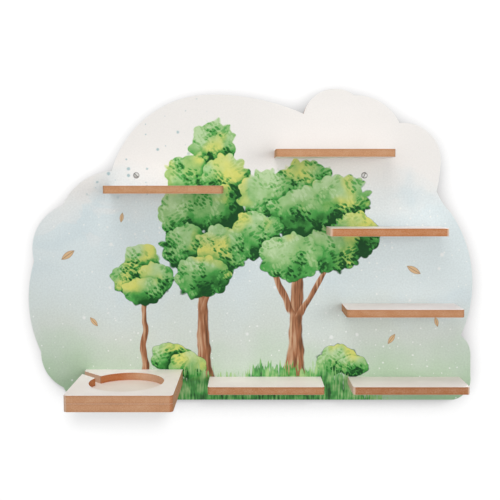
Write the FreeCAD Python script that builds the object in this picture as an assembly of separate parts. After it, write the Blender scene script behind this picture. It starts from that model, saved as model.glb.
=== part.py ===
import FreeCAD, Part
import math
import os

V = FreeCAD.Vector

# Millimetres. X runs right and Z up as seen from the front, and Y runs into the wall.
# The wall is the plane Y = 0. The origin lies midway between the two wall screws.

# Boards: a fibreboard core with a thin film pressed on each broad side
PANEL_CORE = 11.6
PRINT_FILM = 0.2
REAR_FILM = 0.2
SHELF_CORE = 11.7
FACE_FILM = 0.15

# Shelf boards
SHELF_LENGTH = 180.0
SHELF_DEPTH = 65.0
SHELF_CORNER_RADIUS = 5.0

# Player station: two boards one upon the other, the upper one cut through
STATION_WIDTH = 156.0
STATION_DEPTH = 156.0
STATION_CORNER_RADIUS = 6.0
WELL_DIAMETER = 113.0
SLOT_WIDTH = 13.0
SLOT_ANGLE = 45.0
SLOT_MOUTH_SETBACK = 21.0

# Bottom row: the station and two shelves side by side, their undersides at one height.
# The panel is as wide as this row and the margins beside it.
LEFT_MARGIN = 91.0
ROW_GAP = 44.0
RIGHT_MARGIN = 18.5
BOTTOM_ROW_HEIGHT = 26.0
PANEL_HEIGHT = 498.5

# Upper shelves: name, the side of the panel that the shelf's end is measured from and how far,
# then the edge that its nearer face is measured from and how far
UPPER_SHELVES = [
    ("upper_left_shelf", "left", 134.0, "top", 152.0),
    ("upper_right_shelf", "right", 138.5, "top", 97.0),
    ("middle_right_shelf", "right", 55.5, "top", 216.5),
    ("lower_right_shelf", "right", 29.5, "bottom", 146.0),
]

# Wall screws: their spacing, and how far they are below the top of the panel
WALL_SCREW_SPACING = 362.0
WALL_SCREW_DROP = 135.5

# Cloud outline, clockwise from the bottom left corner as seen from the front. Each row is the
# start of one stretch, in percent of the panel's width from its left side and of its height from
# its bottom edge, and the bulge of that stretch in percent of the straight line to the next row.
# A minus bulge is hollow.
CLOUD = [
    (10.5, 0.0, 10.0),
    (7.5, 4.1, 15.1),
    (2.6, 15.9, 9.5),
    (1.5, 45.4, 19.6),
    (8.1, 63.2, 13.8),
    (19.2, 74.2, 17.0),
    (41.8, 98.2, 5.1),
    (61.8, 92.2, 26.9),
    (72.9, 98.0, 14.3),
    (83.0, 89.3, 21.9),
    (92.3, 77.4, 2.1),
    (91.5, 67.7, -5.3),
    (94.6, 61.2, 13.3),
    (97.6, 21.2, 11.4),
    (99.9, 15.3, 0.0),
    (100.0, 8.0, 20.3),
    (96.3, 0.0, 0.0),
]

# Countersunk screws that come from behind into the shelves and the station
SCREW_LENGTH = 40.0
SCREW_DIAMETER = 4.0
SCREW_HEAD_DIAMETER = 8.0
SCREW_HEAD_RIM = 0.4
SCREW_TIP = 6.0
SCREW_INSET = 30.0
STATION_SCREW_INSET = 24.0
CROSS_WIDTH = 1.1
CROSS_SPAN = 4.6
CROSS_DEPTH = 2.2

# Slotted wall screws with a raised countersunk head. The neck inside the panel is slimmer
# than the thread behind it.
WALL_SCREW_LENGTH = 60.0
WALL_SCREW_DIAMETER = 5.0
WALL_SCREW_NECK = 4.4
WALL_SCREW_HEAD_DIAMETER = 9.2
WALL_SCREW_HEAD_RIM = 0.5
WALL_SCREW_DOME = 0.9
WALL_SCREW_TIP = 8.0
DRIVE_SLOT_WIDTH = 1.2
DRIVE_SLOT_DEPTH = 2.0
DRIVE_SLOT_TURN = {"left": -45.0, "right": 65.0}

# Clearances, on the radius
PANEL_HOLE_CLEARANCE = 0.35
PILOT_CLEARANCE = 0.05
HEAD_SEAT_CLEARANCE = 0.4
PILOT_RUNOUT = 2.0

# Sizes that follow from the ones above
PANEL_FRONT = -(REAR_FILM + PANEL_CORE)
PRINT_FRONT = PANEL_FRONT - PRINT_FILM
SHELF_THICKNESS = SHELF_CORE + 2 * FACE_FILM
PANEL_WIDTH = LEFT_MARGIN + STATION_WIDTH + 2 * (ROW_GAP + SHELF_LENGTH) + RIGHT_MARGIN
PANEL_LEFT = -PANEL_WIDTH / 2
PANEL_RIGHT = PANEL_WIDTH / 2
STATION_LEFT = PANEL_LEFT + LEFT_MARGIN
STATION_MIDDLE = STATION_LEFT + STATION_WIDTH / 2
BOTTOM_MIDDLE_LEFT = STATION_LEFT + STATION_WIDTH + ROW_GAP
BOTTOM_RIGHT_LEFT = BOTTOM_MIDDLE_LEFT + SHELF_LENGTH + ROW_GAP

# Longer than any cut has to be
THROUGH = 1000.0


def height(above_bottom):
    """Z of a height that is measured from the bottom edge of the panel."""
    return above_bottom - (PANEL_HEIGHT - WALL_SCREW_DROP)


def shelf_corner(side, inset, edge, distance):
    """The left end and the underside of an upper shelf."""
    left = PANEL_LEFT + inset
    if side == "right":
        left = PANEL_RIGHT - inset - SHELF_LENGTH
    bottom = distance
    if edge == "top":
        bottom = PANEL_HEIGHT - distance - SHELF_THICKNESS
    return left, bottom


def cloud_layer(front, thickness):
    """A flat layer with the cloud outline, its front at Y = front."""
    points = []
    for across, up, bulge in CLOUD:
        x = PANEL_LEFT + PANEL_WIDTH * across / 100
        points.append(V(x, front, height(PANEL_HEIGHT * up / 100)))
    edges = []
    for i, (across, up, bulge) in enumerate(CLOUD):
        start = points[i]
        end = points[(i + 1) % len(points)]
        if bulge == 0:
            edges.append(Part.makeLine(start, end))
            continue
        line = end - start
        outward = V(-line.z, 0, line.x)
        crest = (start + end) * 0.5 + outward * (bulge / 100)
        edges.append(Part.Arc(start, crest, end).toShape())
    return Part.Face(Part.Wire(edges)).extrude(V(0, thickness, 0))


def board_layer(left, width, depth, corner, bottom, thickness):
    """A layer of a board whose back edge is on the print, with both front corners rounded."""
    right = left + width
    front = PRINT_FRONT - depth
    slant = corner * (1 - math.sqrt(0.5))
    z = height(bottom)
    back_left = V(left, PRINT_FRONT, z)
    left_end = V(left, front + corner, z)
    left_crest = V(left + slant, front + slant, z)
    front_left = V(left + corner, front, z)
    front_right = V(right - corner, front, z)
    right_crest = V(right - slant, front + slant, z)
    right_end = V(right, front + corner, z)
    back_right = V(right, PRINT_FRONT, z)
    outline = Part.Wire([
        Part.makeLine(back_left, left_end),
        Part.Arc(left_end, left_crest, front_left).toShape(),
        Part.makeLine(front_left, front_right),
        Part.Arc(front_right, right_crest, right_end).toShape(),
        Part.makeLine(right_end, back_right),
        Part.makeLine(back_right, back_left),
    ])
    return Part.Face(outline).extrude(V(0, 0, thickness))


def turned(profile, place, direction, dome=0):
    """A solid turned from (radius, distance) points, set at place along direction.

    The first two points are its flat end, which a dome of the given height can cover.
    """
    points = [V(radius, 0, distance) for radius, distance in profile]
    edges = [Part.makeLine(a, b) for a, b in zip(points, points[1:])]
    axis_end = points[0]
    if dome:
        rim = points[1]
        ball = (rim.x ** 2 + dome ** 2) / (2 * dome)
        half = math.asin(rim.x / ball) / 2
        axis_end = V(0, 0, rim.z - dome)
        crest = V(ball * math.sin(half), 0, rim.z - dome + ball * (1 - math.cos(half)))
        edges[0] = Part.Arc(axis_end, crest, rim).toShape()
    edges.append(Part.makeLine(points[-1], axis_end))
    face = Part.Face(Part.Wire(edges))
    solid = face.revolve(V(0, 0, 0), V(0, 0, 1), 360)
    solid.Placement = FreeCAD.Placement(place, FreeCAD.Rotation(V(0, 0, 1), direction))
    return solid


def head_seat(head_diameter, rim, neck_diameter, place, direction):
    """The countersunk hole that a screw head lies in, with clearance all round."""
    mouth = head_diameter / 2 + HEAD_SEAT_CLEARANCE
    bore = neck_diameter / 2 + PANEL_HOLE_CLEARANCE
    profile = [
        (0, -rim),
        (mouth, -rim),
        (mouth, rim),
        (bore, rim + mouth - bore),
        (bore, THROUGH),
        (0, THROUGH),
    ]
    return turned(profile, place, direction)


def rear_screw(x, z):
    """A screw with a crossed head, flush with the rear of the panel and pointing forward."""
    head = SCREW_HEAD_DIAMETER / 2
    shank = SCREW_DIAMETER / 2
    profile = [
        (0, 0),
        (head, 0),
        (head, SCREW_HEAD_RIM),
        (shank, SCREW_HEAD_RIM + head - shank),
        (shank, SCREW_LENGTH - SCREW_TIP),
        (0, SCREW_LENGTH),
    ]
    solid = turned(profile, V(x, 0, z), V(0, -1, 0))
    across = Part.makeBox(CROSS_SPAN, CROSS_DEPTH, CROSS_WIDTH)
    across.translate(V(x - CROSS_SPAN / 2, -CROSS_DEPTH, z - CROSS_WIDTH / 2))
    upright = Part.makeBox(CROSS_WIDTH, CROSS_DEPTH, CROSS_SPAN)
    upright.translate(V(x - CROSS_WIDTH / 2, -CROSS_DEPTH, z - CROSS_SPAN / 2))
    return solid.cut(across.fuse(upright))


def wall_screw(x, turn):
    """A screw with a slotted head seated in the print and a thread running back into the wall."""
    head = WALL_SCREW_HEAD_DIAMETER / 2
    neck = WALL_SCREW_NECK / 2
    thread = WALL_SCREW_DIAMETER / 2
    wall = -PRINT_FRONT
    profile = [
        (0, 0),
        (head, 0),
        (head, WALL_SCREW_HEAD_RIM),
        (neck, WALL_SCREW_HEAD_RIM + head - neck),
        (neck, wall),
        (thread, wall),
        (thread, WALL_SCREW_LENGTH - WALL_SCREW_TIP),
        (0, WALL_SCREW_LENGTH),
    ]
    solid = turned(profile, V(x, PRINT_FRONT, 0), V(0, 1, 0), WALL_SCREW_DOME)
    head_top = PRINT_FRONT - WALL_SCREW_DOME
    slot = Part.makeBox(2 * WALL_SCREW_HEAD_DIAMETER, DRIVE_SLOT_DEPTH, DRIVE_SLOT_WIDTH)
    slot.translate(V(x - WALL_SCREW_HEAD_DIAMETER, head_top, -DRIVE_SLOT_WIDTH / 2))
    slot.rotate(V(x, 0, 0), V(0, -1, 0), turn)
    return solid.cut(slot)


def pilot_hole(x, z):
    """The hole in a board's back edge that takes the thread of a rear screw."""
    radius = SCREW_DIAMETER / 2 + PILOT_CLEARANCE
    return Part.makeCylinder(radius, SCREW_LENGTH + PILOT_RUNOUT, V(x, 0, z), V(0, -1, 0))


def screw_places(left, width, inset, count, bottom):
    """Evenly spaced screw places along the middle of a board's back edge."""
    first = left + inset
    step = (width - 2 * inset) / (count - 1)
    z = height(bottom) + SHELF_THICKNESS / 2
    return [(first + step * i, z) for i in range(count)]


def drilled(board, places):
    for x, z in places:
        board = board.cut(pilot_hole(x, z))
    return board


def white_faced_board(left, width, depth, corner, bottom):
    """The core of a board, and the films on its underside and its top."""
    outline = (left, width, depth, corner)
    core = board_layer(*outline, bottom + FACE_FILM, SHELF_CORE)
    under = board_layer(*outline, bottom, FACE_FILM)
    top = board_layer(*outline, bottom + FACE_FILM + SHELF_CORE, FACE_FILM)
    return core, under, top


nodes = {}
rear_places = []

# Six shelves, each with its films and the two screws that hold it
shelves = [(name, *shelf_corner(*place)) for name, *place in UPPER_SHELVES]
shelves.append(("bottom_middle_shelf", BOTTOM_MIDDLE_LEFT, BOTTOM_ROW_HEIGHT))
shelves.append(("bottom_right_shelf", BOTTOM_RIGHT_LEFT, BOTTOM_ROW_HEIGHT))
for name, left, bottom in shelves:
    core, under, top = white_faced_board(left, SHELF_LENGTH, SHELF_DEPTH, SHELF_CORNER_RADIUS, bottom)
    places = screw_places(left, SHELF_LENGTH, SCREW_INSET, 2, bottom)
    nodes[name] = drilled(core, places)
    nodes[name + "_faces"] = Part.makeCompound([under, top])
    nodes[name + "_screws"] = Part.makeCompound([rear_screw(x, z) for x, z in places])
    rear_places += places

# Station base: its upper film is the floor of the well
station_outline = (STATION_LEFT, STATION_WIDTH, STATION_DEPTH, STATION_CORNER_RADIUS)
core, under, top = white_faced_board(*station_outline, BOTTOM_ROW_HEIGHT)
places = screw_places(STATION_LEFT, STATION_WIDTH, STATION_SCREW_INSET, 3, BOTTOM_ROW_HEIGHT)
nodes["station_base"] = drilled(core, places)
nodes["station_base_faces"] = Part.makeCompound([under, top])
nodes["station_screws"] = Part.makeCompound([rear_screw(x, z) for x, z in places])
rear_places += places

# Station ring: the well and the cable slot go right through it
ring_bottom = BOTTOM_ROW_HEIGHT + SHELF_THICKNESS
well_place = V(STATION_MIDDLE, PRINT_FRONT - STATION_DEPTH / 2, height(ring_bottom))
well = Part.makeCylinder(WELL_DIAMETER / 2, SHELF_THICKNESS, well_place)
mouth_place = V(STATION_LEFT, PRINT_FRONT - SLOT_MOUTH_SETBACK, height(ring_bottom))
slot_turn = math.radians(SLOT_ANGLE)
slot_along = V(math.cos(slot_turn), -math.sin(slot_turn), 0)
slot_reach = (well_place - mouth_place).dot(slot_along)
slot = Part.makeBox(slot_reach + SLOT_WIDTH, SLOT_WIDTH, SHELF_THICKNESS)
slot.translate(V(-SLOT_WIDTH, -SLOT_WIDTH / 2, 0))
slot.rotate(V(0, 0, 0), V(0, 0, 1), -SLOT_ANGLE)
slot.translate(mouth_place)
station_cut = well.fuse(slot)
core, under, top = white_faced_board(*station_outline, ring_bottom)
nodes["station_ring"] = core.cut(station_cut)
nodes["station_ring_faces"] = Part.makeCompound([under.cut(station_cut), top.cut(station_cut)])

# Cloud panel: core, print and rear film, all drilled alike
holes = []
for x, z in rear_places:
    holes.append(head_seat(SCREW_HEAD_DIAMETER, SCREW_HEAD_RIM, SCREW_DIAMETER, V(x, 0, z), V(0, -1, 0)))
for side, sign in (("left", -1), ("right", 1)):
    x = sign * WALL_SCREW_SPACING / 2
    nodes["wall_screw_" + side] = wall_screw(x, DRIVE_SLOT_TURN[side])
    place = V(x, PRINT_FRONT, 0)
    holes.append(head_seat(WALL_SCREW_HEAD_DIAMETER, WALL_SCREW_HEAD_RIM, WALL_SCREW_NECK, place, V(0, 1, 0)))
nodes["back_panel"] = cloud_layer(PANEL_FRONT, PANEL_CORE).cut(holes)
nodes["printed_front"] = cloud_layer(PRINT_FRONT, PRINT_FILM).cut(holes)
nodes["panel_rear_film"] = cloud_layer(-REAR_FILM, REAR_FILM).cut(holes)

os.makedirs("parts", exist_ok=True)
for name, shape in nodes.items():
    shape.exportStep("parts/" + name + ".step")
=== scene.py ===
import math

import bmesh
import bpy
from bpy.props import FloatProperty, FloatVectorProperty, PointerProperty
from mathutils import Matrix, Vector


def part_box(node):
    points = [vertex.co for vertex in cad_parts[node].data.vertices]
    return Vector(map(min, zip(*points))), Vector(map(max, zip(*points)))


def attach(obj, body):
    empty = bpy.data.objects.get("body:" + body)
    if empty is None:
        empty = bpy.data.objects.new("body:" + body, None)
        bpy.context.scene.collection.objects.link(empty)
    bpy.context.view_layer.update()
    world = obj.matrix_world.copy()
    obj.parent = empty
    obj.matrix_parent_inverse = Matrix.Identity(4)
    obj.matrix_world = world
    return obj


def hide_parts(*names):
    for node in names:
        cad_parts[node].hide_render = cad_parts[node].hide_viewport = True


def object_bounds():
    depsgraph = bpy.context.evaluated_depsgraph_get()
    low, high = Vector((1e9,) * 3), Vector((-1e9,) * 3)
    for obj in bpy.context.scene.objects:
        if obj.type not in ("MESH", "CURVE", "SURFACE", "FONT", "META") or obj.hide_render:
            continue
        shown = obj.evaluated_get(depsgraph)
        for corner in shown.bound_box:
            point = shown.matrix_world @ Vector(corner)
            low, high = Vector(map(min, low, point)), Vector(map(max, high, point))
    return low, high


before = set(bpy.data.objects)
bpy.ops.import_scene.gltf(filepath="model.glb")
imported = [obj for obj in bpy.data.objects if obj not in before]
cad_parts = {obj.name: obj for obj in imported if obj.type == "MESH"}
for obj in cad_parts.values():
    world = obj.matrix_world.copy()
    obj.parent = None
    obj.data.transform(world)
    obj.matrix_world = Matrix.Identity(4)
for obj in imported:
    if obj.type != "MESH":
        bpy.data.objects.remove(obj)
cad_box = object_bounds()

bl_info = {
    "name": "Tree Wall Shelf",
    "version": (1, 0, 0),
    "blender": (4, 5, 0),
    "location": "View3D > Sidebar > Wall Shelf",
    "description": "Dresses the wall shelf: printed panel, fibreboard shelves, player station, screws",
    "category": "Object",
}

# Metres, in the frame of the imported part: X right, Z up, Y into the wall.
MM = 0.001
PRINT_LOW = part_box("printed_front")[0]
PRINT_FRONT = PRINT_LOW.y
PANEL_BOTTOM = PRINT_LOW.z

# The wall screws, and how far the slot of each is turned, in degrees
WALL_SCREWS = {"wall_screw_left": 45.0, "wall_screw_right": -65.0}
SHELVES = [
    "upper_left_shelf", "upper_right_shelf", "middle_right_shelf",
    "lower_right_shelf", "bottom_middle_shelf", "bottom_right_shelf"]

# The picture is laid out in millimetres: across from the middle of the panel, and up from its
# bottom edge. Foliage is built of round clumps, painted in this order: middle, half width,
# half height, and how light the clump is.
CLUMPS = [
    # a young tree at the left
    (-172, 228, 31, 30, 0.56),
    (-194, 198, 30, 27, 0.47),
    (-150, 197, 31, 28, 0.53),
    (-172, 178, 34, 24, 0.45),
    # a tall tree
    (-60, 408, 38, 44, 0.56),
    (-94, 358, 42, 42, 0.46),
    (-38, 352, 42, 44, 0.52),
    (-106, 300, 42, 44, 0.54),
    (-50, 304, 46, 46, 0.43),
    (-100, 246, 44, 40, 0.46),
    (-46, 244, 44, 42, 0.54),
    (-78, 200, 48, 35, 0.45),
    # a broad tree before it
    (84, 346, 54, 42, 0.50),
    (26, 330, 48, 42, 0.55),
    (140, 324, 52, 42, 0.56),
    (80, 298, 56, 46, 0.44),
    (170, 268, 42, 38, 0.46),
    (10, 268, 46, 40, 0.46),
    (130, 244, 50, 38, 0.51),
    (64, 232, 54, 40, 0.55),
    # bushes on the bank
    (-128, 70, 36, 25, 0.48),
    (-102, 58, 32, 22, 0.55),
    (142, 66, 36, 25, 0.52),
    (166, 55, 28, 18, 0.45),
]
# Trunks and boughs: foot, height of the foot and of the top, half width, lean, and root flare
TRUNKS = [
    (-74, 30, 225, 11, -0.02, 1.3),
    (-79, 140, 240, 5, 0.34, 0.0),
    (72, 28, 230, 15, 0.02, 1.5),
    (78, 135, 245, 6, 0.55, 0.2),
    (68, 140, 250, 6, -0.45, 0.2),
    (-171, 20, 190, 6, 0.0, 1.2),
]
# Drifting leaves: middle, length, and turn in degrees
LEAVES = [
    (-292, 236, 27, 35),
    (-252, 128, 20, -50),
    (-205, 296, 17, 80),
    (262, 212, 27, -30),
    (228, 100, 21, 55),
    (300, 128, 18, -75),
]


def linear(code):
    """Linear red, green and blue of an sRGB hex colour."""
    shares = [int(code[i:i + 2], 16) / 255 for i in (1, 3, 5)]
    return tuple(c / 12.92 if c <= 0.04045 else ((c + 0.055) / 1.055) ** 2.4 for c in shares)


def colour(code, name, description):
    return FloatVectorProperty(
        name=name, description=description, subtype="COLOR", size=3, min=0, max=1, default=linear(code))


def length(millimetres, name, description):
    return FloatProperty(
        name=name, description=description, unit="LENGTH", min=0, default=millimetres * MM)


def power(watts, name, description):
    return FloatProperty(name=name, description=description, unit="POWER", min=0, default=watts)


class PanelSettings(bpy.types.PropertyGroup):
    """Colours of the printed cloud panel."""
    paper: colour("#F0EDE9", "Paper", "Bare cream at the top of the picture")
    sky: colour("#DDE8EA", "Sky", "Pale blue wash below the paper")
    pool: colour("#CFDDE1", "Pool", "Stronger blue where the wash gathered")
    haze: colour("#DAE4E4", "Haze", "Grey blue across the middle")
    mist: colour("#D5DDD5", "Mist", "Grey green where sky and meadow run together")
    meadow: colour("#BBD2B6", "Meadow", "Green wash along the bottom")
    leaf_shade: colour("#104C19", "Leaf shade", "Darkest green of the foliage")
    leaf: colour("#4A9F48", "Leaf", "Main green of the foliage")
    leaf_pale: colour("#A6CB88", "Pale leaf", "Thin light green at the top of each clump")
    leaf_sun: colour("#E2DC6A", "Sunlit leaf", "Yellow green where the sun falls")
    bark: colour("#A56E4C", "Bark", "Main brown of trunks and boughs")
    dry_leaf: colour("#DDB37F", "Dry leaf", "Tan of the drifting leaves")


class BoardSettings(bpy.types.PropertyGroup):
    """Colours of the boards."""
    upper_edge: colour("#C58F66", "Upper edge", "Raw fibreboard of the two upper shelves")
    middle_edge: colour("#BF7D4F", "Middle edge", "Redder fibreboard of the middle shelf")
    lower_edge: colour("#BF865D", "Lower edge", "Fibreboard of the lower shelf")
    bottom_edge: colour("#B97E55", "Bottom edge", "Darker fibreboard of the bottom middle shelf")
    corner_edge: colour("#AC7048", "Corner edge", "Darkest fibreboard, of the bottom right shelf")
    # Painted light: pale colour on the ends of two shelves and on the station's front left walls
    painted_end_light: colour("#FADFC8", "Painted end light", "Pale painted light on the ends of two shelves and on the station")
    station_edge: colour("#C7926C", "Station edge", "Paler fibreboard of the player station")
    # Painted shade: grey in the mouths of the holes for the wall screws
    seat_shade_grey: colour("#918F8B", "Seat shade", "Grey mouths of the holes for the wall screws")
    # Painted shade: orange brown on the left of the station's well and on its right front corner
    painted_well_shade: colour("#EAC2A0", "Painted well shade", "Orange brown painted shade in the well and on the station's right front corner")
    film: colour("#FDF1ED", "White film", "Melamine on the tops and undersides")
    well_film: colour("#F3E5DB", "Well film", "Melamine of the station's lower board, a shade warmer")


class ScrewSettings(bpy.types.PropertyGroup):
    """Sizes of the wall screws that their solids leave plain."""
    neck: length(4.4, "Neck", "Diameter of the plain neck inside the panel")
    thread: length(5.0, "Thread", "Diameter over the crests of the thread")
    thread_depth: length(0.8, "Thread depth", "How far the crests stand out from the core")
    pitch: length(2.2, "Thread pitch", "Distance from one thread crest to the next")
    tip: length(8.0, "Tip", "Length over which the thread tapers to a point")
    slot_width: length(1.2, "Slot width", "Of the slot across the head")
    slot_depth: length(2.0, "Slot depth", "From the crest of the head to the floor of the slot")
    plating: colour("#B3B2AE", "Plating", "Bright zinc")


class StageSettings(bpy.types.PropertyGroup):
    """Camera and light."""
    camera_distance: length(1221.1, "Camera distance", "From the wall plane to the lens")
    camera_aside: FloatProperty(
        name="Camera aside", description="Of the lens from the middle, to the right",
        unit="LENGTH", default=-0.48 * MM)
    camera_height: FloatProperty(
        name="Camera height", description="Of the lens above the wall screws",
        unit="LENGTH", default=-20.1 * MM)
    camera_tilt: FloatProperty(
        name="Camera tilt", description="Downward", subtype="ANGLE", default=math.radians(4.67))
    camera_lens: FloatProperty(
        name="Focal length", description="On a sensor 36 mm wide", unit="CAMERA", default=54.606)
    key_power: power(19.3, "Key light", "Wide soft box overhead")
    front_power: power(7.9, "Front light", "Wide soft box before the shelf, above the lens")
    fill_power: power(9.1, "Fill light", "Large soft box before the shelf, below the lens")
    side_power: power(7.2, "Side light", "Soft box at the right")
    rear_power: power(26.0, "Rear light", "Soft box behind the panel")
    paper_light: FloatProperty(
        name="Paper light", description="Distant lamp that lights the paper alone, in W/m2",
        min=0, default=4.4)
    sky_level: FloatProperty(
        name="Room light", description="Even light from all around",
        subtype="FACTOR", min=0, max=1, default=0.32)


class WallShelfSettings(bpy.types.PropertyGroup):
    """All settings of the wall shelf."""
    panel: PointerProperty(type=PanelSettings)
    boards: PointerProperty(type=BoardSettings)
    screws: PointerProperty(type=ScrewSettings)
    stage: PointerProperty(type=StageSettings)


def add(tree, kind, inputs=None, out=0, stops=None, **settings):
    """Adds a node with its settings and links, and returns one of its outputs.

    An input is a value, or another node's output that is linked to it. Sockets that share a name go
    by number. Map Range reads from 1 to 2 and gives 3 to 4. Mix takes the share at 0, two numbers at
    2 and 3 or two colours at 6 and 7, and gives a colour at output 2.
    """
    made = tree.nodes.new("ShaderNode" + kind)
    for name, value in settings.items():
        setattr(made, name, value)
    for key, value in (inputs or {}).items():
        if isinstance(value, bpy.types.NodeSocket):
            tree.links.new(value, made.inputs[key])
        else:
            made.inputs[key].default_value = value
    if stops:
        elements = made.color_ramp.elements
        elements[0].position = stops[0][0]
        elements[1].position = stops[-1][0]
        for place, tint in stops[1:-1]:
            elements.new(place)
        for element, (place, tint) in zip(elements, stops):
            element.color = (*tint, 1)
    return made.outputs[out] if made.outputs else None


def new_material(name):
    material = bpy.data.materials.new(name)
    material.use_nodes = True
    material.node_tree.nodes.clear()
    return material, material.node_tree


def cover_node(name, material):
    """Gives one CAD node its material."""
    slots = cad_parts[name].data.materials
    slots.clear()
    slots.append(material)


def blended(one, other, share):
    """A colour between two colours."""
    return tuple(a + (b - a) * share for a, b in zip(one, other))


def reach_from(tree, place, axis, plane):
    """Distance of a place from an axis, measured in the plane that the axis stands on."""
    local = add(tree, "VectorMath", {0: place, 1: axis}, operation="SUBTRACT")
    level = add(tree, "VectorMath", {0: local, 1: plane}, operation="MULTIPLY")
    return add(tree, "VectorMath", {0: level}, out="Value", operation="LENGTH")


def station_light_and_shade(tree, place, tint, shade_tint, lit_tint):
    """Painted light and shade on the player station.

    Painted shade turns the left of the well's wall and the rounded right front corner an orange
    brown, and painted light makes the walls that face the front left pale.
    """
    low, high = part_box("station_ring")
    middle = (low + high) / 2
    reach = reach_from(tree, place, middle, (1, 1, 0))
    # The wall of the well is 56.5 mm from its axis, and the outside of the station 78 mm or more.
    inside = add(tree, "MapRange", {"Value": reach, 1: 60 * MM, 2: 58 * MM})
    across = add(tree, "SeparateXYZ", {0: place}, out="X")
    left = add(tree, "MapRange", {"Value": across, 1: middle.x + 8 * MM, 2: middle.x - 20 * MM})
    # Painted shade on the left of the well's wall
    shade_share = add(tree, "Math", {0: inside, 1: left}, operation="MULTIPLY")
    facing = add(tree, "NewGeometry", out="Normal")
    # Painted shade also on the rounded right front corner, which turns away from the light
    corner = add(
        tree, "VectorMath", {0: facing, 1: (0.71, -0.71, 0)}, out="Value", operation="DOT_PRODUCT")
    corner = add(tree, "MapRange", {"Value": corner, 1: 0.78, 2: 0.95, 4: 0.6})
    shade_share = add(tree, "Math", {0: shade_share, 1: corner}, operation="MAXIMUM")
    tint = add(
        tree, "Mix", {0: shade_share, 6: tint, 7: (*shade_tint, 1)}, out=2, data_type="RGBA", blend_type="MULTIPLY")
    # Painted light: pale on the walls that face the front left, fainter inside the well
    lit_share = add(
        tree, "VectorMath", {0: facing, 1: (-0.71, -0.71, 0)}, out="Value", operation="DOT_PRODUCT")
    lit_share = add(tree, "MapRange", {"Value": lit_share, 1: 0.80, 2: 0.97})
    thick = add(tree, "MapRange", {"Value": inside, 3: 0.45, 4: 0.15})
    lit_share = add(tree, "Math", {0: lit_share, 1: thick}, operation="MULTIPLY")
    return add(tree, "Mix", {0: lit_share, 6: tint, 7: (*lit_tint, 1)}, out=2, data_type="RGBA")


def painted_seat_shade(tree, place, tint, seat):
    """Painted shade, grey, in the mouths of the holes for the heads of the wall screws."""
    for node in WALL_SCREWS:
        low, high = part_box(node)
        reach = reach_from(tree, place, (low + high) / 2, (1, 0, 1))
        near = add(tree, "MapRange", {"Value": reach, 1: 6.5 * MM, 2: 6.0 * MM})
        tint = add(tree, "Mix", {0: near, 6: tint, 7: (*seat, 1)}, out=2, data_type="RGBA")
    return tint


def painted_lit_ends(tree, flecks, tint, lit_tint):
    """Painted light, pale and in patches, on both ends of a board and on the rounds of its corners."""
    facing = add(tree, "NewGeometry", out="Normal")
    facing = add(tree, "SeparateXYZ", {0: facing}, out="X")
    facing = add(tree, "Math", {0: facing}, operation="ABSOLUTE")
    lit_share = add(tree, "MapRange", {"Value": facing, 1: 0.15, 2: 0.7})
    patchy = add(tree, "MapRange", {"Value": flecks, 3: 1.0, 4: 0.6})
    lit_share = add(tree, "Math", {0: lit_share, 1: patchy}, operation="MULTIPLY")
    return add(tree, "Mix", {0: lit_share, 6: tint, 7: (*lit_tint, 1)}, out=2, data_type="RGBA")


def raw_fibreboard(name, edge, across, lit_tint=None, shade_tint=None, seat=None):
    """Medium density fibreboard as the router leaves it.

    Its cut edge is a dry, matt felt of brown fibres, denser and darker next to the faces and
    paler in the middle, flecked with short light and dark fibres. Lit tint, shade tint and seat are
    the colours of painted light on ends and on walls that face the front left, of painted shade in
    the station's well and on its right front corner, and of painted shade in the mouths of the
    holes for the wall screws, where the board has them.
    """
    material, tree = new_material(name)
    place = add(tree, "TexCoord", out="Object")
    own = add(tree, "TexCoord", out="Generated")
    flat = [1.0, 1.0, 1.0]
    flat["XYZ".index(across)] = 2.2
    stretched = add(tree, "Mapping", {"Vector": place, "Scale": flat})
    # Fibres are a fifth of a millimetre thick. They are drawn as 2.4 mm flecks, which still show.
    flecks = add(tree, "TexNoise", {
        "Vector": stretched, "Scale": 1 / (2.4 * MM), "Detail": 3.0, "Roughness": 0.6})
    # Clumps of fibre in the pressed mat, some 16 mm across
    clumps = add(tree, "TexNoise", {"Vector": stretched, "Scale": 1 / (16 * MM), "Detail": 2.0})
    through = add(tree, "SeparateXYZ", {0: own}, out=across)
    off_middle = add(tree, "Math", {0: through, 1: 0.5}, operation="SUBTRACT")
    off_middle = add(tree, "Math", {0: off_middle}, operation="ABSOLUTE")
    skin = add(tree, "MapRange", {"Value": off_middle, 1: 0.22, 2: 0.5, 3: 0.05, 4: -0.09})
    tone = add(tree, "Math", {0: flecks, 1: 0.65, 2: skin}, operation="MULTIPLY_ADD")
    tone = add(tree, "Math", {0: clumps, 1: 0.25, 2: tone}, operation="MULTIPLY_ADD")
    tint = add(tree, "ValToRGB", {0: tone}, stops=[
        (0.14, blended(edge, linear("#5D3F2C"), 0.45)),
        (0.44, edge),
        (0.73, blended(edge, linear("#EDD4B8"), 0.4))])
    if seat:
        tint = painted_seat_shade(tree, place, tint, seat)
    elif shade_tint:
        tint = station_light_and_shade(tree, place, tint, shade_tint, lit_tint)
    elif lit_tint:
        tint = painted_lit_ends(tree, flecks, tint, lit_tint)
    height = add(tree, "Bump", {"Height": flecks, "Strength": 0.35, "Distance": 0.35 * MM})
    shader = add(tree, "BsdfPrincipled", {
        "Base Color": tint, "Roughness": 0.86, "Normal": height, "Specular IOR Level": 0.25})
    add(tree, "OutputMaterial", {"Surface": shader})
    return material


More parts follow.
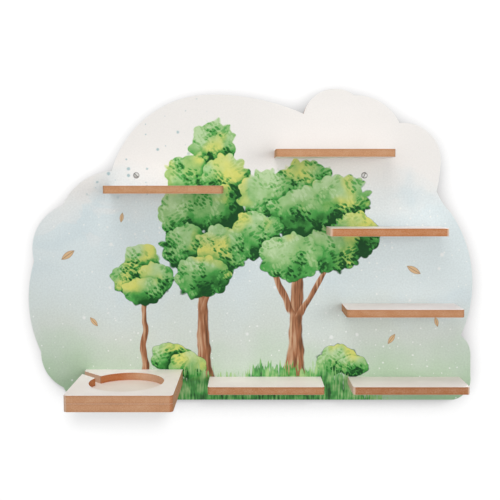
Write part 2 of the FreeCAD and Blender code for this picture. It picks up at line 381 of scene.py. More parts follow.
def white_melamine(name, film, edge, across):
    """Melamine film pressed onto the board under a fine pearl plate.

    It is a warm white with a low, even sheen, faintly pebbled and never quite one tone. Its own
    edge, cut with the board, is a pale line that the sawdust of the board warms.
    """
    material, tree = new_material(name)
    place = add(tree, "TexCoord", out="Object")
    # The pearl pebbles are 0.3 mm. They are drawn 1.8 mm wide, as small as the render shows.
    pebbles = add(tree, "TexNoise", {"Vector": place, "Scale": 1 / (1.8 * MM), "Detail": 2.0})
    # Faint clouding from the paper under the resin, some 45 mm across
    clouding = add(tree, "TexNoise", {"Vector": place, "Scale": 1 / (45 * MM), "Detail": 3.0})
    tone = add(tree, "Math", {0: pebbles, 1: 0.25, 2: clouding}, operation="MULTIPLY_ADD")
    tint = add(tree, "ValToRGB", {0: tone}, stops=[
        (0.40, blended(film, linear("#CEC5BC"), 0.16)),
        (0.85, blended(film, linear("#FFFEFC"), 0.15))])
    facing = add(tree, "NewGeometry", out="Normal")
    facing = add(tree, "SeparateXYZ", {0: facing}, out=across)
    facing = add(tree, "Math", {0: facing}, operation="ABSOLUTE")
    cut = add(tree, "Math", {0: facing, 1: 0.5}, operation="LESS_THAN")
    dusted = (*blended(film, edge, 0.25), 1)
    tint = add(tree, "Mix", {0: cut, 6: tint, 7: dusted}, out=2, data_type="RGBA")
    sheen = add(tree, "MapRange", {"Value": pebbles, 3: 0.40, 4: 0.54})
    height = add(tree, "Bump", {"Height": pebbles, "Strength": 0.12, "Distance": 0.08 * MM})
    shader = add(tree, "BsdfPrincipled", {
        "Base Color": tint, "Roughness": sheen, "Normal": height, "Specular IOR Level": 0.4})
    add(tree, "OutputMaterial", {"Surface": shader})
    return material


def zinc_steel(name, plating, crest):
    """Cold-formed steel with bright zinc plating.

    It is a cool grey metal, a little cloudy where the plating is thin. Painted shade darkens a head
    below its high crest, in the slot and down at the rim.
    """
    material, tree = new_material(name)
    place = add(tree, "TexCoord", out="Object")
    # Crystals of the plating, drawn 0.8 mm wide to show on a head of 9 mm
    cloud = add(tree, "TexNoise", {"Vector": place, "Scale": 1 / (0.8 * MM), "Detail": 3.0})
    tint = add(tree, "ValToRGB", {0: cloud}, stops=[
        (0.30, blended(plating, linear("#959593"), 0.45)),
        (0.70, plating)])
    depth = add(tree, "SeparateXYZ", {0: place}, out="Y")
    # Painted shade: dark grey from 0.3 mm below a head's crest, fading out by 5 mm below it
    recess_shade = add(tree, "MapRange", {"Value": depth, 1: crest + 0.3 * MM, 2: crest + 1.3 * MM, 4: 0.75})
    head = add(tree, "MapRange", {"Value": depth, 1: crest + 5 * MM, 2: crest + 3 * MM})
    recess_shade = add(tree, "Math", {0: recess_shade, 1: head}, operation="MULTIPLY")
    tint = add(tree, "Mix", {0: recess_shade, 6: tint, 7: (*linear("#4B4945"), 1)}, out=2, data_type="RGBA")
    polish = add(tree, "MapRange", {"Value": cloud, 3: 0.42, 4: 0.58})
    height = add(tree, "Bump", {"Height": cloud, "Strength": 0.1, "Distance": 0.05 * MM})
    shader = add(tree, "BsdfPrincipled", {
        "Base Color": tint, "Metallic": 1.0, "Roughness": polish, "Normal": height})
    add(tree, "OutputMaterial", {"Surface": shader})
    return material


def paint_wash(tree, spot, across, up, panel):
    """Wet washes that run together: cream above, pale blue, grey green, and meadow below."""
    # Slow drifts of pigment some 130 mm across bend the bands of the wash.
    drift = add(tree, "TexNoise", {
        "Vector": spot, "Scale": 1 / 130, "Detail": 3.0, "Roughness": 0.55}, noise_dimensions="2D")
    level = add(tree, "Math", {0: up, 1: 55.0}, operation="SUBTRACT")
    level = add(tree, "Math", {0: drift, 1: 110.0, 2: level}, operation="MULTIPLY_ADD")
    wash = add(tree, "ValToRGB", {0: add(tree, "MapRange", {"Value": level, 2: 500.0})}, stops=[
        (0.0, blended(panel.meadow, panel.leaf, 0.35)),
        (0.08, panel.meadow),
        (0.15, blended(panel.meadow, panel.mist, 0.55)),
        (0.22, panel.mist),
        (0.37, panel.haze),
        (0.58, panel.sky),
        (0.67, blended(panel.sky, panel.paper, 0.7)),
        (0.76, panel.paper)])
    # Pools of stronger blue some 100 mm across, in the middle of the sky
    pools = add(tree, "TexNoise", {
        "Vector": spot, "Scale": 1 / 100, "Detail": 3.0, "Distortion": 0.4}, noise_dimensions="2D")
    pools = add(tree, "MapRange", {"Value": pools, 1: 0.52, 2: 0.70, 4: 0.5})
    for clear, full in ((120.0, 200.0), (370.0, 320.0)):
        sky = add(tree, "MapRange", {"Value": level, 1: clear, 2: full})
        pools = add(tree, "Math", {0: pools, 1: sky}, operation="MULTIPLY")
    wash = add(tree, "Mix", {0: pools, 6: wash, 7: (*panel.pool, 1)}, out=2, data_type="RGBA")
    # Patches of bare paper some 110 mm across, like cloud, with the firm rims that wet paint leaves
    bare = add(tree, "TexNoise", {
        "Vector": spot, "Scale": 1 / 110, "Detail": 4.0, "Distortion": 0.6}, noise_dimensions="2D")
    bare = add(tree, "MapRange", {"Value": bare, 1: 0.53, 2: 0.57, 4: 0.6})
    sky = add(tree, "MapRange", {"Value": level, 1: 220.0, 2: 340.0})
    bare = add(tree, "Math", {0: bare, 1: sky}, operation="MULTIPLY")
    wash = add(tree, "Mix", {0: bare, 6: wash, 7: (*panel.paper, 1)}, out=2, data_type="RGBA")
    # Painted shade dims the bare paper above the upper right shelf, where its top throws light up.
    low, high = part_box("upper_right_shelf")
    left, right, top = low.x / MM, high.x / MM, (high.z - PANEL_BOTTOM) / MM
    bounce_shade = add(tree, "MapRange", {"Value": up, 1: top, 2: top + 65, 3: 0.085, 4: 0.0})
    edges = (
        (up, top - 14, top - 2),
        (across, left - 25, left + 45),
        (across, right + 25, right - 45))
    for along, clear, full in edges:
        here = add(tree, "MapRange", {"Value": along, 1: clear, 2: full})
        bounce_shade = add(tree, "Math", {0: bounce_shade, 1: here}, operation="MULTIPLY")
    kept = add(tree, "Math", {0: 1.0, 1: bounce_shade}, operation="SUBTRACT")
    wash = add(tree, "VectorMath", {0: wash, 1: kept}, operation="MULTIPLY")
    # Pigment settles in grains. They are drawn 3 mm wide, as small as the render shows.
    grains = add(
        tree, "TexNoise", {"Vector": spot, "Scale": 1 / 3, "Detail": 3.0}, noise_dimensions="2D")
    grains = add(tree, "MapRange", {"Value": grains, 1: 0.3, 2: 0.7, 3: 0.955, 4: 1.03})
    washed = add(tree, "MapRange", {"Value": level, 1: 400.0, 2: 320.0})
    grains = add(tree, "Mix", {0: washed, 2: 1.0, 3: grains}, data_type="FLOAT")
    return add(tree, "VectorMath", {0: wash, 1: grains}, operation="MULTIPLY")


def paint_flecks(tree, spot, across, up, wash):
    """White flecks where drops of clean water pushed the pigment away, and a few grey-blue specks."""
    ragged = add(tree, "TexNoise", {
        "Vector": spot, "Scale": 1 / 3, "Detail": 2.0}, out="Color", noise_dimensions="2D")
    ragged = add(tree, "VectorMath", {0: ragged, 1: (1.6, 1.6, 0), 2: spot}, operation="MULTIPLY_ADD")
    low = add(tree, "MapRange", {"Value": up, 1: 370.0, 2: 310.0})
    left = add(tree, "MapRange", {"Value": across, 1: -60.0, 2: -120.0})
    high = add(tree, "MapRange", {"Value": up, 1: 310.0, 2: 360.0})
    corner = add(tree, "Math", {0: left, 1: high}, operation="MULTIPLY")
    # Each kind: spacing in millimetres, largest radius, the share of places that hold one, where, tint
    kinds = (
        (12.0, 1.9, 0.50, low, linear("#F3F6F3")),
        (44.0, 4.2, 0.45, low, linear("#F1F3F1")),
        (16.0, 3.6, 0.60, corner, linear("#95B5BA")))
    for spacing, radius, share, where, tint in kinds:
        sown = add(tree, "TexVoronoi", {
            "Vector": ragged, "Scale": 1 / spacing}, voronoi_dimensions="2D").node
        chance = add(tree, "SeparateColor", {0: sown.outputs["Color"]})
        size = add(tree, "MapRange", {"Value": chance, 1: 1 - share, 4: radius / spacing})
        inside = add(tree, "Math", {0: size, 1: sown.outputs["Distance"]}, operation="SUBTRACT")
        drop = add(tree, "MapRange", {"Value": inside, 2: 0.5 * radius / spacing, 4: 0.8})
        drop = add(tree, "Math", {0: drop, 1: where}, operation="MULTIPLY")
        wash = add(tree, "Mix", {0: drop, 6: wash, 7: (*tint, 1)}, out=2, data_type="RGBA")
    return wash


def paint_trunks(tree, spot, across, up, picture, panel):
    """Trunks and boughs in brown, lit from the left, with dark streaks up the bark."""
    sway = add(tree, "TexNoise", {"Vector": spot, "Scale": 1 / 34, "Detail": 1.0}, noise_dimensions="2D")
    sway = add(tree, "MapRange", {"Value": sway, 3: -5.0, 4: 5.0})
    across = add(tree, "Math", {0: across, 1: sway}, operation="ADD")
    tall = add(tree, "Mapping", {"Vector": spot, "Scale": (1 / 3.2, 1 / 40, 1)})
    streaks = add(tree, "TexNoise", {"Vector": tall, "Scale": 1.0, "Detail": 2.0}, noise_dimensions="2D")
    for foot, low, high, half, lean, flare in TRUNKS:
        climb = add(tree, "Math", {0: up, 1: low}, operation="SUBTRACT")
        middle = add(tree, "Math", {0: climb, 1: lean, 2: foot}, operation="MULTIPLY_ADD")
        aside = add(tree, "Math", {0: across, 1: middle}, operation="SUBTRACT")
        taper = add(tree, "MapRange", {"Value": climb, 2: high - low, 3: half, 4: half * 0.55})
        root = add(tree, "MapRange", {"Value": climb, 2: 42.0, 3: 1.0, 4: 0.0})
        root = add(tree, "Math", {0: root, 1: 2.2}, operation="POWER")
        wide = add(tree, "Math", {0: root, 1: half * flare, 2: taper}, operation="MULTIPLY_ADD")
        side = add(tree, "Math", {0: aside, 1: wide}, operation="DIVIDE")
        out_by = add(tree, "Math", {0: side}, operation="ABSOLUTE")
        body = add(tree, "MapRange", {"Value": out_by, 1: 1.06, 2: 0.9})
        for clear, full in ((low, low + 5), (high, high - 14)):
            ends = add(tree, "MapRange", {"Value": up, 1: clear, 2: full})
            body = add(tree, "Math", {0: body, 1: ends}, operation="MULTIPLY")
        tone = add(tree, "Math", {0: side, 1: -0.2, 2: streaks}, operation="MULTIPLY_ADD")
        bark = add(tree, "ValToRGB", {0: tone}, stops=[
            (0.25, blended(panel.bark, linear("#3F2719"), 0.7)),
            (0.5, panel.bark),
            (0.78, blended(panel.bark, linear("#E5C4A2"), 0.6))])
        picture = add(tree, "Mix", {0: body, 6: picture, 7: bark}, out=2, data_type="RGBA")
    return picture


def paint_foliage(tree, spot, picture, panel):
    """Foliage in wet clumps with frilled edges, light above left and shaded below, dabbed over."""
    # Leaves frill the edge of each clump in scallops some 15 mm wide.
    frill = add(tree, "TexVoronoi", {"Vector": spot, "Scale": 1 / 15}, voronoi_dimensions="2D")
    wander = add(
        tree, "TexNoise", {"Vector": spot, "Scale": 1 / 26, "Detail": 3.0}, noise_dimensions="2D")
    frill = add(tree, "Math", {0: frill, 1: 0.30, 2: -0.20}, operation="MULTIPLY_ADD")
    frill = add(tree, "Math", {0: wander, 1: 0.22, 2: frill}, operation="MULTIPLY_ADD")
    cover = None
    tone = None
    for middle, rise, half, tall, light in CLUMPS:
        local = add(tree, "Mapping", {
            "Vector": spot, "Location": (middle, rise, 0),
            "Scale": (half, tall, 1)}, vector_type="TEXTURE")
        reach = add(tree, "VectorMath", {0: local}, out="Value", operation="LENGTH")
        reach = add(tree, "Math", {0: reach, 1: frill}, operation="ADD")
        body = add(tree, "MapRange", {"Value": reach, 1: 1.02, 2: 0.97})
        lit = add(
            tree, "VectorMath", {0: local, 1: (-0.10, 0.24, 0)}, out="Value", operation="DOT_PRODUCT")
        rim = add(tree, "MapRange", {"Value": reach, 1: 0.75, 2: 1.0, 3: light, 4: light - 0.06})
        lit = add(tree, "Math", {0: lit, 1: rim}, operation="ADD")
        if tone is None:
            cover, tone = body, lit
            continue
        # A clump shades what lies behind it, close to its edge.
        shade = add(tree, "MapRange", {"Value": reach, 1: 1.0, 2: 1.3, 3: 0.17, 4: 0.0})
        tone = add(tree, "Math", {0: tone, 1: shade}, operation="SUBTRACT")
        tone = add(tree, "Mix", {0: body, 2: tone, 3: lit}, data_type="FLOAT")
        cover = add(tree, "Math", {0: cover, 1: body}, operation="MAXIMUM")
    # Blooms of wet paint some 45 mm across
    bloom = add(tree, "TexNoise", {
        "Vector": spot, "Scale": 1 / 45, "Detail": 5.0, "Roughness": 0.6}, noise_dimensions="2D")
    swing = add(tree, "MapRange", {"Value": bloom, 1: 0.25, 2: 0.75, 3: -0.15, 4: 0.23})
    tone = add(tree, "Math", {0: tone, 1: swing}, operation="ADD")
    # Single leaves, 10 mm by 4.5 mm, dabbed on in patches, darker one way and paler the other
    for turn, place, change in ((38, 0.0, -0.20), (-28, 300.0, -0.14), (62, 700.0, 0.12)):
        turned = add(tree, "Mapping", {
            "Vector": spot, "Location": (place, 0, 0), "Rotation": (0, 0, math.radians(turn))})
        dabs = add(tree, "Mapping", {"Vector": turned, "Scale": (1 / 10, 1 / 4.5, 1)})
        dabs = add(tree, "TexVoronoi", {"Vector": dabs, "Scale": 1.0}, voronoi_dimensions="2D")
        dabs = add(tree, "MapRange", {"Value": dabs, 1: 0.46, 2: 0.36})
        patches = add(
            tree, "TexNoise", {"Vector": turned, "Scale": 1 / 30, "Detail": 2.0}, noise_dimensions="2D")
        patches = add(tree, "MapRange", {"Value": patches, 1: 0.53, 2: 0.60, 4: change})
        dabs = add(tree, "Math", {0: dabs, 1: patches}, operation="MULTIPLY")
        tone = add(tree, "Math", {0: tone, 1: dabs}, operation="ADD")
    green = add(tree, "ValToRGB", {0: tone}, stops=[
        (0.10, blended(panel.leaf_shade, linear("#003019"), 0.4)),
        (0.24, panel.leaf_shade),
        (0.42, panel.leaf),
        (0.60, blended(panel.leaf, panel.leaf_pale, 0.7)),
        (0.82, blended(panel.leaf_pale, linear("#FFFFF3"), 0.2))])
    sun = add(tree, "TexNoise", {"Vector": spot, "Scale": 1 / 70, "Detail": 2.0}, noise_dimensions="2D")
    sun = add(tree, "MapRange", {"Value": sun, 1: 0.52, 2: 0.68, 4: 0.75})
    lit = add(tree, "MapRange", {"Value": tone, 1: 0.38, 2: 0.62})
    sun = add(tree, "Math", {0: sun, 1: lit}, operation="MULTIPLY")
    green = add(tree, "Mix", {0: sun, 6: green, 7: (*panel.leaf_sun, 1)}, out=2, data_type="RGBA")
    return add(tree, "Mix", {0: cover, 6: picture, 7: green}, out=2, data_type="RGBA")


def paint_grass(tree, spot, across, up, picture, panel):
    """A low grassy bank along the bottom, its blades brushed upward."""
    fine = add(tree, "Mapping", {"Vector": spot, "Scale": (1 / 3.4, 1 / 26, 1)})
    blades = add(tree, "TexNoise", {"Vector": fine, "Scale": 1.0, "Detail": 2.0}, noise_dimensions="2D")
    jag = add(tree, "Math", {0: blades, 1: 0.5}, operation="SUBTRACT")
    roll = add(tree, "TexNoise", {"W": across, "Scale": 1 / 80, "Detail": 1.0}, noise_dimensions="1D")
    crest = add(tree, "MapRange", {"Value": roll, 1: 0.3, 2: 0.7, 3: 36.0, 4: 62.0})
    far = add(tree, "Math", {0: across, 1: 10.0}, operation="SUBTRACT")
    far = add(tree, "Math", {0: far}, operation="ABSOLUTE")
    far = add(tree, "MapRange", {"Value": far, 1: 110.0, 2: 250.0, 3: 0.0, 4: 66.0})
    crest = add(tree, "Math", {0: crest, 1: far}, operation="SUBTRACT")
    crest = add(tree, "Math", {0: jag, 1: 56.0, 2: crest}, operation="MULTIPLY_ADD")
    under = add(tree, "Math", {0: crest, 1: up}, operation="SUBTRACT")
    body = add(tree, "MapRange", {"Value": under, 1: -2.0, 2: 3.0, 4: 0.94})
    tufts = add(
        tree, "TexNoise", {"Vector": spot, "Scale": 1 / 22, "Detail": 2.0}, noise_dimensions="2D")
    tufts = add(tree, "MapRange", {"Value": tufts, 1: 0.3, 2: 0.7, 3: -0.2, 4: 0.16})
    tone = add(tree, "MapRange", {"Value": under, 1: 0.0, 2: 50.0, 3: 0.12, 4: -0.06})
    tone = add(tree, "Math", {0: tone, 1: tufts}, operation="ADD")
    tone = add(tree, "Math", {0: tone, 1: blades}, operation="ADD")
    green = add(tree, "ValToRGB", {0: tone}, stops=[
        (0.24, panel.leaf_shade),
        (0.50, panel.leaf),
        (0.80, panel.leaf_pale)])
    return add(tree, "Mix", {0: body, 6: picture, 7: green}, out=2, data_type="RGBA")


def paint_dry_leaves(tree, spot, picture, panel):
    """Small tan leaves adrift, each with a brown rim and midrib."""
    rim_brown = (*blended(panel.dry_leaf, linear("#613F27"), 0.65), 1)
    for middle, rise, size, turn in LEAVES:
        local = add(tree, "Mapping", {
            "Vector": spot, "Location": (middle, rise, 0), "Rotation": (0, 0, math.radians(turn)),
            "Scale": (size / 2, size / 2, 1)}, vector_type="TEXTURE")
        parts = add(tree, "SeparateXYZ", {0: local}).node
        along, aside = parts.outputs["X"], parts.outputs["Y"]
        aside = add(tree, "Math", {0: aside}, operation="ABSOLUTE")
        bow = add(tree, "Math", {0: along, 1: along}, operation="MULTIPLY")
        bow = add(tree, "MapRange", {"Value": bow, 3: 0.40, 4: 0.0})
        inside = add(tree, "Math", {0: bow, 1: aside}, operation="SUBTRACT")
        body = add(tree, "MapRange", {"Value": inside, 1: 0.0, 2: 0.06, 4: 0.9})
        rim = add(tree, "MapRange", {"Value": inside, 1: 0.12, 2: 0.05})
        rib = add(tree, "MapRange", {"Value": aside, 1: 0.06, 2: 0.02})
        line = add(tree, "Math", {0: rim, 1: rib}, operation="MAXIMUM")
        tan = add(tree, "Mix", {0: line, 6: (*panel.dry_leaf, 1), 7: rim_brown}, out=2, data_type="RGBA")
        picture = add(tree, "Mix", {0: body, 6: picture, 7: tan}, out=2, data_type="RGBA")
    return picture


def printed_film(name, panel):
    """Paper decor film with a water-colour print, sealed with clear lacquer.

    The eye gets soft washes with pigment gathered in the paper's tooth, under a low even sheen.
    """
    material, tree = new_material(name)
    place = add(tree, "TexCoord", out="Object")
    parts = add(tree, "SeparateXYZ", {0: place}).node.outputs
    across = add(tree, "Math", {0: parts["X"], 1: 1 / MM}, operation="MULTIPLY")
    up = add(tree, "Math", {0: parts["Z"], 1: 1 / MM, 2: -PANEL_BOTTOM / MM}, operation="MULTIPLY_ADD")
    spot = add(tree, "CombineXYZ", {"X": across, "Y": up})
    picture = paint_wash(tree, spot, across, up, panel)
    picture = paint_flecks(tree, spot, across, up, picture)
    picture = paint_trunks(tree, spot, across, up, picture, panel)
    picture = paint_foliage(tree, spot, picture, panel)
    picture = paint_grass(tree, spot, across, up, picture, panel)
    picture = paint_dry_leaves(tree, spot, picture, panel)
    # The paper's tooth is half a millimetre. It is drawn 2.5 mm wide, as small as the render shows.
    tooth = add(
        tree, "TexNoise", {"Vector": spot, "Scale": 1 / 2.5, "Detail": 3.0}, noise_dimensions="2D")
    settled = add(tree, "MapRange", {"Value": tooth, 1: 0.3, 2: 0.7, 3: 0.975, 4: 1.012})
    picture = add(tree, "VectorMath", {0: picture, 1: settled}, operation="MULTIPLY")
    sheen = add(tree, "MapRange", {"Value": tooth, 3: 0.46, 4: 0.6})
    height = add(tree, "Bump", {"Height": tooth, "Strength": 0.1, "Distance": 0.1 * MM})
    shader = add(tree, "BsdfPrincipled", {
        "Base Color": picture, "Roughness": sheen, "Normal": height, "Specular IOR Level": 0.15})
    add(tree, "OutputMaterial", {"Surface": shader})
    return material


def seen_rays(tree):
    """1 for rays that the eye follows, straight, mirrored or through glass, and 0 for rays that light."""
    paths = add(tree, "LightPath").node.outputs
    seen = add(
        tree, "Math", {0: paths["Is Camera Ray"], 1: paths["Is Glossy Ray"]}, operation="MAXIMUM")
    return add(tree, "Math", {0: seen, 1: paths["Is Transmission Ray"]}, operation="MAXIMUM")


def studio_paper(name):
    """Matt white background paper, white to the camera, which keeps the shadow that falls on it.

    Seen from behind it is clear, so that the rear of the shelf shows too.
    """
    material, tree = new_material(name)
    # Close to the shelf, within 58 mm, the paper also loses the light of the room, most of it
    # below and a little to the right, because that light comes from above and from the left.
    lean = add(tree, "NewGeometry", out="Normal")
    lean = add(tree, "VectorMath", {0: lean, 1: (-0.16, 0, 0.26)}, operation="ADD")
    lean = add(tree, "VectorMath", {0: lean}, operation="NORMALIZE")
    near = add(tree, "AmbientOcclusion", {"Distance": 58 * MM, "Normal": lean}, out="AO")
    near = add(tree, "Math", {0: near, 1: 1.09}, operation="MULTIPLY", use_clamp=True)
    # The room gives two thirds of the white, and the distant lamp on the grey paper the rest.
    level = add(tree, "Math", {0: seen_rays(tree), 1: 0.67}, operation="MULTIPLY")
    level = add(tree, "Math", {0: level, 1: near}, operation="MULTIPLY")
    grey = add(tree, "Math", {0: near, 1: 0.16}, operation="MULTIPLY")
    paper = add(tree, "BsdfDiffuse", {"Color": grey})
    glow = add(tree, "Emission", {"Strength": level})
    front = add(tree, "AddShader", {0: paper, 1: glow})
    clear = add(tree, "BsdfTransparent")
    behind = add(tree, "NewGeometry", out="Backfacing")
    shown = add(tree, "MixShader", {0: behind, 1: front, 2: clear})
    add(tree, "OutputMaterial", {"Surface": shown})
    return material


class WALLSHELF_OT_print_panel(bpy.types.Operator):
    """Prints the front of the cloud panel and finishes its core and rear"""
    bl_idname = "wallshelf.print_panel"
    bl_label = "Printed Panel"

    def execute(self, context):
        settings = context.scene.wall_shelf
        cover_node("printed_front", printed_film("printed_decor_film", settings.panel))
        boards = settings.boards
        # Painted shade greys the mouths of the holes for the wall screws.
        cover_node("back_panel", raw_fibreboard(
            "raw_mdf_panel", boards.upper_edge, "Y", seat=boards.seat_shade_grey))
        cover_node("panel_rear_film", white_melamine(
            "white_melamine_rear", boards.film, boards.upper_edge, "Y"))
        return {"FINISHED"}


class WALLSHELF_OT_finish_shelves(bpy.types.Operator):
    """Gives the six shelf boards their raw edges and white faces"""
    bl_idname = "wallshelf.finish_shelves"
    bl_label = "Shelf Boards"

    def execute(self, context):
        boards = context.scene.wall_shelf.boards
        # The middle and bottom right shelves get painted light on their ends.
        raw_boards = (
            ("raw_mdf_upper", boards.upper_edge, None, ("upper_left_shelf", "upper_right_shelf")),
            ("raw_mdf_middle", boards.middle_edge, boards.painted_end_light, ("middle_right_shelf",)),
            ("raw_mdf_lower", boards.lower_edge, None, ("lower_right_shelf",)),
            ("raw_mdf_bottom", boards.bottom_edge, None, ("bottom_middle_shelf",)),
            ("raw_mdf_corner", boards.corner_edge, boards.painted_end_light, ("bottom_right_shelf",)))
        for name, edge, lit_tint, shelves in raw_boards:
            raw = raw_fibreboard(name, edge, "Z", lit_tint)
            for shelf in shelves:
                cover_node(shelf, raw)
        white = white_melamine("white_melamine_shelves", boards.film, boards.bottom_edge, "Z")
        for shelf in SHELVES:
            cover_node(shelf + "_faces", white)
        return {"FINISHED"}


class WALLSHELF_OT_finish_station(bpy.types.Operator):
    """Gives the two boards of the player station their raw edges and white faces"""
    bl_idname = "wallshelf.finish_station"
    bl_label = "Player Station"

    def execute(self, context):
        boards = context.scene.wall_shelf.boards
        # The station's walls get painted light and painted shade.
        raw = raw_fibreboard(
            "raw_mdf_station", boards.station_edge, "Z", boards.painted_end_light, boards.painted_well_shade)
        white = white_melamine("white_melamine_ring", boards.film, boards.station_edge, "Z")
        warm = white_melamine("white_melamine_base", boards.well_film, boards.station_edge, "Z")
        cover_node("station_base", raw)
        cover_node("station_base_faces", warm)
        cover_node("station_ring", raw)
        cover_node("station_ring_faces", white)
        return {"FINISHED"}


def ring_of(shape, radii, distance):
    """Points round +Y at one distance along it, one for each radius."""
    points = []
    for i, radius in enumerate(radii):
        angle = 2 * math.pi * i / len(radii)
        points.append(shape.verts.new((radius * math.cos(angle), distance, radius * math.sin(angle))))
    return points


def turned_shell(shape, profile, sides=72):
    """Turns (radius, distance) points about +Y into a closed shell."""
    rings = []
    for radius, distance in profile:
        rings.append(ring_of(shape, [radius] * (sides if radius else 1), distance))
    skin(shape, rings)


def skin(shape, rings):
    """Joins rings of points, of which the first and the last are single points."""
    for one, other in zip(rings, rings[1:]):
        for i in range(max(len(one), len(other))):
            a = one[i % len(one)]
            b = one[(i + 1) % len(one)]
            c = other[(i + 1) % len(other)]
            d = other[i % len(other)]
            shape.faces.new(list(dict.fromkeys((a, b, c, d))))


def head_profile(head, dome, neck, wall):
    """Half outline of a raised countersunk head with a softened rim, and of the neck in the panel."""
    ball = (head ** 2 + dome ** 2) / (2 * dome)
    steps = 8
    profile = [(0, -dome)]
    for i in range(1, steps + 1):
        lean = math.asin(head / ball) * i / steps
        radius = ball * math.sin(lean) * (0.985 if i == steps else 1.0)
        profile.append((radius, ball * (1 - math.cos(lean)) - dome))
    # The rim is an upright band of 0.3 mm, drawn in a little above and broken below. A cone of
    # 45 degrees leads from it to the neck.
    profile += [(head, 0.12 * MM), (head, 0.42 * MM), (head - 0.1 * MM, 0.6 * MM)]
    profile += [(neck, 0.5 * MM + head - neck), (neck, wall), (0, wall)]
    return profile


def threaded_shell(shape, start, end, screws, sides=40):
    """A wood-screw thread from start to end along +Y, tapering to a point."""
    core = screws.thread / 2 - screws.thread_depth
    rows_per_turn = 12
    rows = round((end - start) / screws.pitch * rows_per_turn)
    # Half the width of a crest, as a share of the pitch
    crest_half = 0.22
    rings = [ring_of(shape, [0], start)]
    for row in range(rows):
        along = start + (end - start) * row / rows
        slim = min(1.0, (end - along) / screws.tip)
        turns = (along - start) / screws.pitch
        radii = []
        for i in range(sides):
            place = (turns + i / sides) % 1.0
            crest = max(0.0, 1 - abs(place - 0.5) / crest_half)
            rise = screws.thread_depth * crest * min(1.0, turns)
            radii.append(core * slim ** 0.8 + rise * slim)
        rings.append(ring_of(shape, radii, along))
    rings.append(ring_of(shape, [0], end))
    skin(shape, rings)


def finished_mesh(shape, name):
    bmesh.ops.recalc_face_normals(shape, faces=shape.faces)
    mesh = bpy.data.meshes.new(name)
    shape.to_mesh(mesh)
    shape.free()
    return mesh


def linked(name, data):
    made = bpy.data.objects.new(name, data)
    bpy.context.scene.collection.objects.link(made)
    return made


def cut_slot(context, piece, place, size):
    """Cuts a straight slot into a screw head, and returns the shape that is left."""
    slot = bmesh.new()
    bmesh.ops.create_cube(slot, size=1)
    bmesh.ops.transform(slot, matrix=place @ Matrix.Diagonal((*size, 1)), verts=slot.verts)
    cutter = linked("slot_cutter", finished_mesh(slot, "slot_cutter"))
    cut = piece.modifiers.new("slot", "BOOLEAN")
    cut.operation = "DIFFERENCE"
    cut.object = cutter
    cut.solver = "EXACT"
    before = len(piece.data.vertices)
    shape = bmesh.new()
    shape.from_object(piece, context.evaluated_depsgraph_get())
    piece.modifiers.clear()
    bpy.data.objects.remove(cutter)
    if len(shape.verts) in (0, before):
        raise RuntimeError("the slot of " + piece.name + " could not be cut")
    return shape


class WALLSHELF_OT_make_wall_screws(bpy.types.Operator):
    """Makes the two slotted wall screws with their threads"""
    bl_idname = "wallshelf.make_wall_screws"
    bl_label = "Wall Screws"

    def execute(self, context):
        screws = context.scene.wall_shelf.screws
        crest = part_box("wall_screw_left")[0].y
        steel = zinc_steel("zinc_plated_steel_wall_screws", screws.plating, crest)
        for node, turn in WALL_SCREWS.items():
            low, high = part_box(node)
            middle = (low.x + high.x) / 2
            head = (high.x - low.x) / 2
            wall = -PRINT_FRONT
            seated = Matrix.Translation((middle, PRINT_FRONT, 0))
            shape = bmesh.new()
            turned_shell(shape, head_profile(head, PRINT_FRONT - low.y, screws.neck / 2, wall))
            bmesh.ops.transform(shape, matrix=seated, verts=shape.verts)
            piece = linked(node + "_visual", finished_mesh(shape, node + "_plain_head"))
            place = Matrix.Translation((middle, low.y, 0)) @ Matrix.Rotation(math.radians(turn), 4, "Y")
            size = (4 * head, 2 * screws.slot_depth, screws.slot_width)
            head_mesh = finished_mesh(cut_slot(context, piece, place, size), node + "_head")
            head_mesh.set_sharp_from_angle(angle=math.radians(35))
            thread = bmesh.new()
            threaded_shell(thread, wall, high.y - PRINT_FRONT, screws)
            bmesh.ops.transform(thread, matrix=seated, verts=thread.verts)
            thread_mesh = finished_mesh(thread, node + "_thread")
            whole = bmesh.new()
            whole.from_mesh(head_mesh)
            whole.from_mesh(thread_mesh)
            piece.data = finished_mesh(whole, node + "_visual")
            piece.data.shade_smooth()
            piece.data.materials.append(steel)
            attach(piece, "root")
            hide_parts(node)
        return {"FINISHED"}


class WALLSHELF_OT_plate_rear_screws(bpy.types.Operator):
    """Gives the screws that hold the boards from behind their plating"""
    bl_idname = "wallshelf.plate_rear_screws"
    bl_label = "Rear Screws"

    def execute(self, context):
        steel = zinc_steel("zinc_plated_steel_rear_screws", context.scene.wall_shelf.screws.plating, 0.0)
        for name in SHELVES + ["station"]:
            cover_node(name + "_screws", steel)
        return {"FINISHED"}


def paper_sweep():
    """One sheet of paper that hangs close behind the panel and sweeps forward as the floor."""
    wall = 15 * MM
    top = 1.4
    floor = PANEL_BOTTOM - 0.55
    bend = 0.25
    reach = 3.0
    half_width = 2.2
    steps = 12
    profile = [(wall, top)]
    for i in range(steps + 1):
        turn = math.radians(90 * i / steps)
        profile.append((wall - bend * (1 - math.cos(turn)), floor + bend * (1 - math.sin(turn))))
    profile.append((wall - reach, floor))
    shape = bmesh.new()
    left = [shape.verts.new((-half_width, y, z)) for y, z in profile]
    right = [shape.verts.new((half_width, y, z)) for y, z in profile]
    for i in range(len(profile) - 1):
        shape.faces.new((left[i], left[i + 1], right[i + 1], right[i]))
    mesh = bpy.data.meshes.new("paper_sweep")
    shape.to_mesh(mesh)
    shape.free()
    mesh.shade_smooth()
    mesh.materials.append(studio_paper("white_background_paper"))
    sweep = linked("paper_sweep", mesh)
    # The room lights and mirrors through the paper, so that the rear of the shelf isn't dark.
    sweep.visible_diffuse = False
    sweep.visible_glossy = False
    sweep.visible_shadow = False
    return sweep


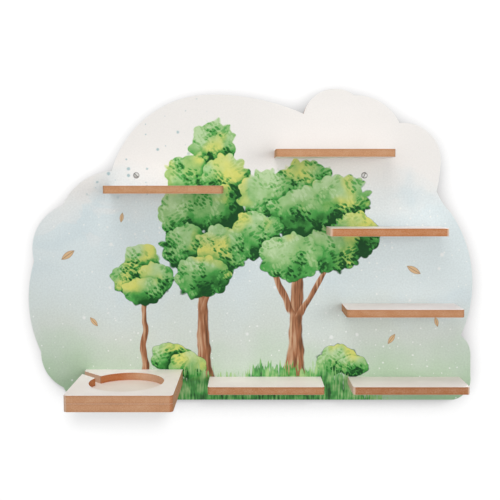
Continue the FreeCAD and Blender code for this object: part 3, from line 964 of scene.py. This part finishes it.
def white_room(level):
    """A world that is white to the eye, and lights the shelf evenly at a level of its own."""
    world = bpy.data.worlds.new("white_room")
    world.use_nodes = True
    tree = world.node_tree
    tree.nodes.clear()
    strength = add(tree, "MapRange", {"Value": seen_rays(tree), 3: level, 4: 1.0})
    room = add(tree, "Background", {"Color": (1, 1, 1, 1), "Strength": strength})
    add(tree, "OutputWorld", {"Surface": room})
    return world


def aimed_lamp(name, kind, energy, direction):
    """A lamp that shines along a direction."""
    lamp = bpy.data.lights.new(name, kind)
    lamp.energy = energy
    made = linked(name, lamp)
    made.rotation_mode = "QUATERNION"
    made.rotation_quaternion = direction.to_track_quat("-Z", "Y")
    return made


class WALLSHELF_OT_set_stage(bpy.types.Operator):
    """Sets up the paper background, the light and the camera"""
    bl_idname = "wallshelf.set_stage"
    bl_label = "Stage"

    def execute(self, context):
        scene = context.scene
        stage = scene.wall_shelf.stage
        sweep = paper_sweep()
        scene.world = white_room(stage.sky_level)

        # Soft boxes: place and diameter in metres, and power
        soft_boxes = [
            ("key_soft_box", (-0.4, -0.75, 1.9), 1.6, stage.key_power),
            ("front_soft_box", (-0.5, -1.85, 0.75), 1.8, stage.front_power),
            ("fill_soft_box", (0.45, -1.95, -0.2), 1.2, stage.fill_power),
            ("side_soft_box", (1.3, -1.6, 0.1), 0.8, stage.side_power),
            ("rear_soft_box", (0.9, 1.9, 0.8), 1.4, stage.rear_power),
        ]
        target = Vector((0, PRINT_FRONT, (cad_box[0].z + cad_box[1].z) / 2))
        for name, place, diameter, watts in soft_boxes:
            soft_box = aimed_lamp(name, "AREA", watts, target - Vector(place))
            soft_box.location = place
            soft_box.data.shape = "DISK"
            soft_box.data.size = diameter

        # A distant lamp, high at the right, lights the paper alone and draws the soft shadow on it.
        far = aimed_lamp("paper_light", "SUN", stage.paper_light, Vector((-0.20, 1, -0.43)))
        far.data.angle = math.radians(10)
        lit = bpy.data.collections.new("paper_alone")
        lit.objects.link(sweep)
        far.light_linking.receiver_collection = lit

        camera = bpy.data.cameras.new("photo_camera")
        camera.sensor_width = 36.0
        camera.lens = stage.camera_lens
        camera.clip_start = 0.05
        camera.clip_end = 50.0
        eye = linked("photo_camera", camera)
        eye.location = (stage.camera_aside, -stage.camera_distance, stage.camera_height)
        eye.rotation_euler = (math.radians(90) - stage.camera_tilt, 0, 0)
        scene.camera = eye
        scene.view_settings.view_transform = "Standard"
        return {"FINISHED"}


class WALLSHELF_PT_pieces(bpy.types.Panel):
    """The steps that dress the wall shelf, and their settings"""
    bl_idname = "WALLSHELF_PT_pieces"
    bl_label = "Wall Shelf"
    bl_space_type = "VIEW_3D"
    bl_region_type = "UI"
    bl_category = "Wall Shelf"

    def draw(self, context):
        for step in STEPS:
            self.layout.operator(step.bl_idname)
        settings = context.scene.wall_shelf
        for group in (settings.panel, settings.boards, settings.screws, settings.stage):
            box = self.layout.box()
            for name in group.__annotations__:
                box.prop(group, name)


STEPS = (
    WALLSHELF_OT_print_panel,
    WALLSHELF_OT_finish_shelves,
    WALLSHELF_OT_finish_station,
    WALLSHELF_OT_make_wall_screws,
    WALLSHELF_OT_plate_rear_screws,
    WALLSHELF_OT_set_stage,
)
CLASSES = (
    PanelSettings, BoardSettings, ScrewSettings, StageSettings, WallShelfSettings,
    *STEPS, WALLSHELF_PT_pieces)


def register():
    for kind in CLASSES:
        bpy.utils.register_class(kind)
    bpy.types.Scene.wall_shelf = PointerProperty(type=WallShelfSettings)


def unregister():
    del bpy.types.Scene.wall_shelf
    for kind in reversed(CLASSES):
        bpy.utils.unregister_class(kind)


def main():
    register()
    bpy.ops.wallshelf.print_panel()
    bpy.ops.wallshelf.finish_shelves()
    bpy.ops.wallshelf.finish_station()
    bpy.ops.wallshelf.make_wall_screws()
    bpy.ops.wallshelf.plate_rear_screws()
    bpy.ops.wallshelf.set_stage()


if __name__ == "__main__":
    main()
